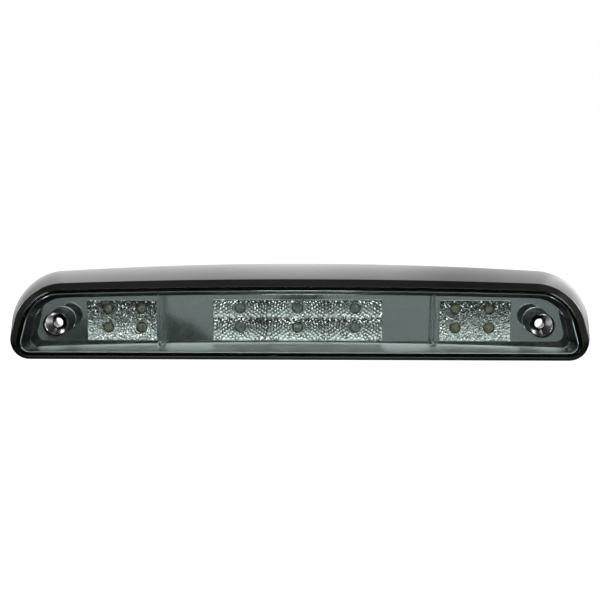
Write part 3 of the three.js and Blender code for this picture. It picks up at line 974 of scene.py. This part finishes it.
def make_reflector(label, seeds, depth, crown, tilt, layers, reach, materials):
    """A faceted plate with its flange, its bosses for the board and an aperture for each light source."""
    x0, x1, z0, z1 = window_mm(label)
    rect = (x0 + CELL_GAP, x1 - CELL_GAP, z0 + CELL_GAP, z1 - CELL_GAP)
    rng = random.Random(f"facets_{label}")
    cells = voronoi(seeds(rect), rect, reach)
    surface = facet_surface(bmesh.new(), cells, depth, crown, tilt, layers, rng)
    plate = plate_from_surface(f"facets_{label}", surface)
    flange = slab("flange", (x0 - 1.9, FLANGE_Y, z0 - 1.9), (x1 + 1.9, PLATE_BACK_Y - 0.05, z1 + 1.9), 0.3)
    screws = [middle_mm(f"board_screw_{label}_{i + 1}") for i in range(2)]
    board_front = box_mm(f"board_{label}")[0].y
    bosses = [turned("boss", [
        (0, -23.8), (2.6, -23.8), (2.6, board_front - 0.3), (0, board_front - 0.3),
    ], s.x, s.z, 32) for s in screws]
    combine(plate, [flange] + bosses, "UNION")
    spots = led_spots(label)
    apertures = [turned("aperture", [
        (0, -30), (APERTURE_R, -30), (APERTURE_R, -22.6), (0, -22.6),
    ], spot.x, spot.z, 48) for spot in spots]
    combine(plate, apertures, "DIFFERENCE")
    if layers > 1:
        smooth(plate, crease=24, weighted=False)
    metal, dark = materials
    finish_piece(plate, metal, "faceted_chrome", f"reflector_{label}")
    plate.data.materials.append(dark)
    for face in plate.data.polygons:
        place = face.center / MM
        from_led = min(math.hypot(place.x - spot.x, place.z - spot.z) for spot in spots)
        if abs(face.normal.y) < 0.3 and from_led < APERTURE_R + 0.1:
            face.material_index = 1


RING_START = APERTURE_R + 0.8
RING_STEP = 1.8
FACET_LENGTH = 2.3
LED_PITCH = (39, 13.2)
DISH = {"x": 0.0034, "z": 0.012, "bottom": -24.3}


def ring_radius(ring):
    """The radius of a ring of facets. Ring -1 mirrors ring 0 in the aperture's rim, so their cells meet there."""
    if ring < 0:
        return 2 * (APERTURE_R - 0.2) - RING_START
    return RING_START + (RING_STEP * (ring - 0.2) if ring else 0)


def dish_seeds(spots):
    """Facet centres in rings round each light source, kept to its own share of the plate."""
    rng = random.Random("rings")
    pitch_x, pitch_z = LED_PITCH

    def seeds(rect):
        x0, x1, z0, z1 = rect
        points = []
        for spot in spots:
            for ring in range(-1, 12):
                r = ring_radius(ring)
                length = 2.2 if ring <= 0 else FACET_LENGTH
                count = max(8, 4 * round(2 * math.pi * r / length / 4))
                shift = 0.5 if ring % 2 else 0.0
                for k in range(count):
                    a = 2 * math.pi * (k + shift) / count
                    x = spot.x + r * math.cos(a) + rng.uniform(-0.12, 0.12)
                    z = spot.z + r * math.sin(a) + rng.uniform(-0.12, 0.12)
                    nearest = min(spots, key=lambda s: math.hypot((s.x - x) / pitch_x, (s.z - z) / pitch_z))
                    inside = x0 < x < x1 and z0 < z < z1
                    if nearest is spot and inside:
                        points.append((x, z))
        return points
    return seeds


def dish_depth(spots):
    """Every light source sits at the bottom of its own shallow dish."""

    def depth(x, z):
        rises = (DISH["x"] * (x - s.x) ** 2 + DISH["z"] * (z - s.z) ** 2 for s in spots)
        return DISH["bottom"] - min(rises)
    return depth


GRAIN = 1.3


def grain_seeds(rng):
    """Facet centres scattered on a staggered grid."""

    def seeds(rect):
        x0, x1, z0, z1 = rect
        points = []
        rows = round((z1 - z0) / (GRAIN * 0.87))
        columns = round((x1 - x0) / GRAIN)
        for row in range(rows):
            for column in range(columns):
                x = x0 + (column + 0.25 + 0.5 * (row % 2)) * (x1 - x0) / columns + rng.uniform(-0.4, 0.4)
                z = z0 + (row + 0.5) * (z1 - z0) / rows + rng.uniform(-0.36, 0.36)
                if x0 < x < x1 and z0 < z < z1:
                    points.append((x, z))
        return points
    return seeds


def trough_depth(rect):
    """One shallow trough along a side chamber."""
    x0, x1, z0, z1 = rect

    def depth(x, z):
        across = (2 * x - x0 - x1) / (x1 - x0)
        up = (2 * z - z0 - z1) / (z1 - z0)
        return PLATE_FRONT_Y + 1.3 * (1 - up * up) + 0.5 * (1 - across * across)
    return depth


def make_reflectors():
    materials = faceted_chrome(), rubber("aperture_skin")
    spots = led_spots("center")
    make_reflector("center", dish_seeds(spots), dish_depth(spots), 0.15, 0.04, 3, 11, materials)
    for label, _ in SIDES:
        depth = trough_depth(window_mm(label))
        seeds = grain_seeds(random.Random(f"grain_{label}"))
        make_reflector(label, seeds, depth, 0.0, 0.085, 1, 5, materials)


# ---------------------------------------------------------------- light sources


def make_led(node, name, materials, slot):
    """A square-bodied LED: clear epoxy with a dome, round a split lead frame with its cup and chip."""
    clear, metal, chip = materials
    spot = middle_mm(node)
    low, high = box_mm(node)
    tip, base = low.y, high.y
    half = (high.x - low.x) / 2
    shoulder = base - 2.8
    dome_r = 3.3
    arcs = [(dome_r * math.sin(a), tip + 2.3 * (1 - math.cos(a))) for a in
            (math.pi / 2 * k / 10 for k in range(1, 11))]
    dome = turned("dome", [
        (0, tip), *arcs, (dome_r, shoulder - 0.25), (3.7, shoulder - 0.1), (3.7, shoulder + 0.4),
        (0, shoulder + 0.4),
    ], spot.x, spot.z, 48)
    body = slab(name, (spot.x - half, shoulder, spot.z - half), (spot.x + half, base, spot.z + half), 0.35)
    combine(body, [dome], "UNION")
    smooth(body)
    finish_piece(body, clear, slot, node)
    sheet = base - 0.9
    halves = []
    for turn in (1, -1):
        part = slab("lead", (-3.4, sheet, 0.25), (3.4, sheet + 0.35, 3.4), 0.1)
        part.data.transform(Matrix.Rotation(math.radians(40 + (90 - 90 * turn)), 4, "Y"))
        part.data.transform(Matrix.Translation(Vector((spot.x, 0, spot.z)) * MM))
        halves.append(part)
    cup = turned("cup", [
        (0, sheet - 0.1), (0.9, sheet - 0.1), (1.7, sheet - 1.1), (1.9, sheet - 1.1), (1.9, sheet - 0.05),
        (0, sheet - 0.05),
    ], spot.x + 0.5, spot.z + 0.6, 48)
    frame_metal = joined(f"{name}_lead_frame", halves + [cup])
    smooth(frame_metal)
    finish_piece(frame_metal, metal, slot)
    die = turned(f"{name}_chip", [
        (0, sheet - 0.55), (0.7, sheet - 0.5), (1.05, sheet - 0.15), (0, sheet - 0.15),
    ], spot.x + 0.5, spot.z + 0.6, 24)
    smooth(die)
    finish_piece(die, chip, slot)


def make_leds():
    cup_metal = Finish("cup_metal", (0.62, 0.64, 0.60), 0.25, Metallic=1.0)
    cup_metal.roughen(cup_metal.noise(0.5), 0.15, 0.35)
    red = (clear_epoxy("clear_epoxy", (0.88, 0.94, 0.84)), cup_metal.material,
           phosphor("red_chip", (0.20, 0.19, 0.15), (0.12, 0.11, 0.09)))
    white = (clear_epoxy("phosphor_epoxy", (0.90, 0.90, 0.66)), cup_metal.material,
             phosphor("white_chip", (0.72, 0.62, 0.18), (0.62, 0.50, 0.12)))
    for i in range(6):
        make_led(f"led_red_{i + 1}", f"led_dome_red_{i + 1}", red, "led_clear")
    for label, _ in SIDES:
        for i in range(4):
            make_led(f"led_white_{label}_{i + 1}", f"led_dome_white_{label}_{i + 1}", white, "led_phosphor")


# ---------------------------------------------------------------- dividers


def make_dividers():
    """The clear walls between the chambers, each with a chrome foot and a thin metal strip on its front edge,
    painted highlights that stand in for the bright spot at its foot and the light along its front edge.
    """
    material = divider_plastic()
    metal = chrome()
    highlight_metal = Finish("divider_highlight_strip", (0.36, 0.41, 0.42), 0.4, Metallic=1.0)
    highlight_metal.mottle(highlight_metal.noise(3), (0.30, 0.35, 0.36))
    for label, side in SIDES:
        low, high = box_mm(f"divider_{label}")
        wall = slab(f"divider_wall_{label}", low, high, 0.3)
        space = loft("space", [
            (RIM_Y, TRAY_RIM.inset(TRAY_WALL + 0.1), 0), (PANEL_Y - 0.1, PANEL.inset(0.1), 0),
        ])
        kept_inside(wall, space)
        bpy.data.objects.remove(space)
        smooth(wall)
        finish_piece(wall, material, "divider", f"divider_{label}")
        # Painted highlights: the chrome foot and the metal strip stand in for light that the clear wall's front
        # end catches.
        front = low.y - 0.15
        bottom = TRAY_RIM.bottom + TRAY_WALL + 2.4
        top = bottom + 3
        foot_low, foot_high = (low.x + 0.2, front, bottom), (low.x + 2.0, front + 1.6, top)
        foot = slab(f"divider_highlight_foot_{label}", foot_low, foot_high, 0.7, 6)
        edge_low, edge_high = (low.x + 0.9, front, top), (low.x + 1.5, front + 0.5, TRAY_RIM.top - 1.5)
        edge = slab(f"divider_highlight_strip_{label}", edge_low, edge_high, 0.15)
        for piece, material_of in ((foot, metal), (edge, highlight_metal.material)):
            smooth(piece)
            finish_piece(piece, material_of, "divider")


# ---------------------------------------------------------------- rear fittings


def make_gasket():
    outer, inner = REAR.inset(1), REAR.inset(8.5)
    front, back = (corner.y for corner in box_mm("mounting_gasket"))
    gasket = loft("foam_gasket", [
        (front, outer, 0.3), (back, outer, 0.8), (back, inner, 0.8), (front, inner, 0.3),
    ], closed=True)
    smooth(gasket)
    finish_piece(gasket, foam(), "foam", "mounting_gasket")


def dress_cad_nodes():
    """Gives the CAD nodes that stay their finished materials."""
    looks = {
        "rubber": rubber("rear_rubber"),
        "steel": zinc_steel(),
        "board": solder_mask(),
        "component": moulded("black_epoxy", (0.015, 0.015, 0.017), (0.03, 0.03, 0.032)),
        "resistor": resistor_lacquer(),
        "nylon": moulded("natural_nylon", (0.80, 0.77, 0.68), (0.72, 0.69, 0.6)),
        "lead": moulded("lead_sleeve", (0.014, 0.014, 0.016), (0.024, 0.024, 0.026), 0.55),
    }
    kinds = {
        "vent_plug": "rubber", "cable_grommet": "rubber", "bezel_screw": "steel", "board_screw": "steel",
        "board_": "board", "diode": "component", "resistor": "resistor", "header": "nylon",
        "jumper_lead": "lead",
    }
    for name, node in nodes.items():
        kind = next((look for start, look in kinds.items() if name.startswith(start)), None)
        if kind:
            node.data.materials.clear()
            node.data.materials.append(looks[kind])


# ---------------------------------------------------------------- stage and light

SKY = 1.7
BRIGHTEST = 3
FLOOR_Z = -0.33


def ramp(tree, source, stops, brightest=1):
    """A grey ramp over a value from -1 to 1: stops are (value, light), and `brightest` comes out as white."""
    remap = tree.nodes.new("ShaderNodeMapRange")
    remap.inputs["From Min"].default_value = -1
    tree.links.new(source, remap.inputs["Value"])
    node = tree.nodes.new("ShaderNodeValToRGB")
    node.color_ramp.interpolation = "EASE"
    elements = node.color_ramp.elements
    while len(elements) < len(stops):
        elements.new(0.5)
    for element, (value, light) in zip(elements, stops):
        element.position = (value + 1) / 2
        grey = light / brightest
        element.color = (grey, grey, grey, 1)
    tree.links.new(remap.outputs["Result"], node.inputs["Fac"])
    return node.outputs["Color"]


def sine(degrees):
    """The height of a direction that many degrees above the horizon."""
    return math.sin(math.radians(degrees))


def product(tree, first, second):
    """One light pattern times another."""
    scale = tree.nodes.new("ShaderNodeVectorMath")
    scale.operation = "MULTIPLY"
    tree.links.new(first, scale.inputs[0])
    tree.links.new(second, scale.inputs[1])
    return scale.outputs["Vector"]


def make_world():
    """A studio: a white sweep behind, a soft lit front with dark wings, and a white table under the part."""
    world = bpy.data.worlds.new("studio")
    world.use_nodes = True
    scene.world = world
    tree = world.node_tree
    tree.nodes.clear()
    direction = tree.nodes.new("ShaderNodeTexCoord")
    split = tree.nodes.new("ShaderNodeSeparateXYZ")
    tree.links.new(direction.outputs["Generated"], split.inputs["Vector"])
    table = [(-1, 1.7), (sine(-62), 1.2), (sine(-42), 0.04)]
    front = ramp(tree, split.outputs["Z"], table + [
        (sine(-22), 0.05), (sine(-11), 0.43), (sine(-6), 0.5), (sine(8), 1.6), (sine(18), 2.8),
        (sine(29), 2.5), (sine(38), 0.5), (sine(60), 0.3), (1, 0.28),
    ], BRIGHTEST)
    front_sides = [(-1, 0.12), (-0.42, 0.14), (-0.12, 1), (0.12, 1), (0.42, 0.14), (1, 0.12)]
    front = product(tree, front, ramp(tree, split.outputs["X"], front_sides))
    back = ramp(tree, split.outputs["Z"], table + [
        (sine(-13), 0.04), (sine(1), SKY), (sine(30), SKY), (sine(46), 0.3), (1, 0.28),
    ], BRIGHTEST)
    back_sides = [
        (-1, 0.04), (-0.75, 0.15), (-0.35, 0.55), (-0.13, 0.8), (-0.02, 0.95), (0.06, 0.8),
        (0.14, 0.5), (0.24, 0.6), (0.34, 0.85), (0.5, 0.75), (0.85, 0.14), (1, 0.1),
    ]
    back = product(tree, back, ramp(tree, split.outputs["X"], back_sides))
    turn = tree.nodes.new("ShaderNodeMapRange")
    turn.interpolation_type = "SMOOTHSTEP"
    turn.inputs["From Min"].default_value = -0.15
    turn.inputs["From Max"].default_value = 0.15
    tree.links.new(split.outputs["Y"], turn.inputs["Value"])
    blend = tree.nodes.new("ShaderNodeMix")
    blend.data_type = "RGBA"
    tree.links.new(turn.outputs["Result"], blend.inputs[0])
    tree.links.new(front, blend.inputs[6])
    tree.links.new(back, blend.inputs[7])
    studio = tree.nodes.new("ShaderNodeBackground")
    studio.inputs["Strength"].default_value = BRIGHTEST
    tree.links.new(blend.outputs[2], studio.inputs["Color"])
    sweep = tree.nodes.new("ShaderNodeBackground")
    sweep.inputs["Color"].default_value = (1, 1, 1, 1)
    path = tree.nodes.new("ShaderNodeLightPath")
    choose = tree.nodes.new("ShaderNodeMixShader")
    tree.links.new(path.outputs["Is Camera Ray"], choose.inputs[0])
    tree.links.new(studio.outputs[0], choose.inputs[1])
    tree.links.new(sweep.outputs[0], choose.inputs[2])
    output = tree.nodes.new("ShaderNodeOutputWorld")
    tree.links.new(choose.outputs[0], output.inputs["Surface"])


def make_floor():
    bm = bmesh.new()
    bmesh.ops.create_circle(bm, cap_ends=True, radius=4, segments=96)
    mesh = bpy.data.meshes.new("floor")
    bm.to_mesh(mesh)
    bm.free()
    floor = link("floor", mesh)
    floor.location = (0, 0, FLOOR_Z)
    finish = Finish("pale_floor", (0.9, 0.9, 0.9), 0.8)
    finish.mottle(finish.noise(200), (0.88, 0.88, 0.88))
    finish.shader.inputs["Emission Color"].default_value = (1, 1, 1, 1)
    finish.shader.inputs["Emission Strength"].default_value = 0.8
    floor.data.materials.append(finish.material)
    floor.visible_glossy = False
    floor.visible_transmission = False


FLAGS = (
    ((-0.57, -0.4), (-0.2, -0.4), (-0.2, -0.3), (-0.218, -0.284), (-0.245, -0.262), (-0.27, -0.245),
     (-0.295, -0.242), (-0.325, -0.222), (-0.33, -0.242), (-0.57, -0.242)),
    ((-0.075, -0.21), (0.016, -0.215), (0.016, -0.17), (-0.075, -0.17)),
)


def make_flags():
    """Low dark cards in front, which only reflections see."""
    bm = bmesh.new()
    for outline in FLAGS:
        bm.faces.new([bm.verts.new((x, -1.6, z)) for x, z in outline])
    mesh = bpy.data.meshes.new("flags")
    bm.to_mesh(mesh)
    bm.free()
    flags = link("flags", mesh)
    flags.data.materials.append(moulded("flag_cloth", (0.1, 0.11, 0.1), (0.08, 0.09, 0.08), 0.9, 3))
    flags.visible_camera = False


def softbox(name, at, size, radiance):
    """A square area light aimed at the part."""
    data = bpy.data.lights.new(name, "AREA")
    data.shape = "RECTANGLE"
    data.size, data.size_y = size
    data.energy = radiance * math.pi * size[0] * size[1]
    light = bpy.data.objects.new(name, data)
    scene.collection.objects.link(light)
    light.location = at
    light.rotation_euler = (-Vector(at)).to_track_quat("-Z", "Y").to_euler()


def make_stage():
    scene.view_settings.view_transform = "Standard"
    make_world()
    make_floor()
    make_flags()
    for label, side in SIDES:
        softbox(f"wing_{label}", (side * 1.09, -0.96, 0.05), (0.3, 0.7), 6)
        softbox(f"key_{label}", (side * 0.96, -1.02, 0.54), (0.33, 0.45), 11)
        softbox(f"rim_light_{label}", (side * 1.1, 1.15, 0.42), (0.1, 0.7), 8)
    softbox("table_glow", (0, -0.38, -0.235), (0.1, 0.1), 6)


make_camera()
make_stage()
black = gloss_black()
make_housing(black)
make_lens()
make_seals(rubber())
make_bezel()
make_reflectors()
make_leds()
make_dividers()
make_gasket()
dress_cad_nodes()
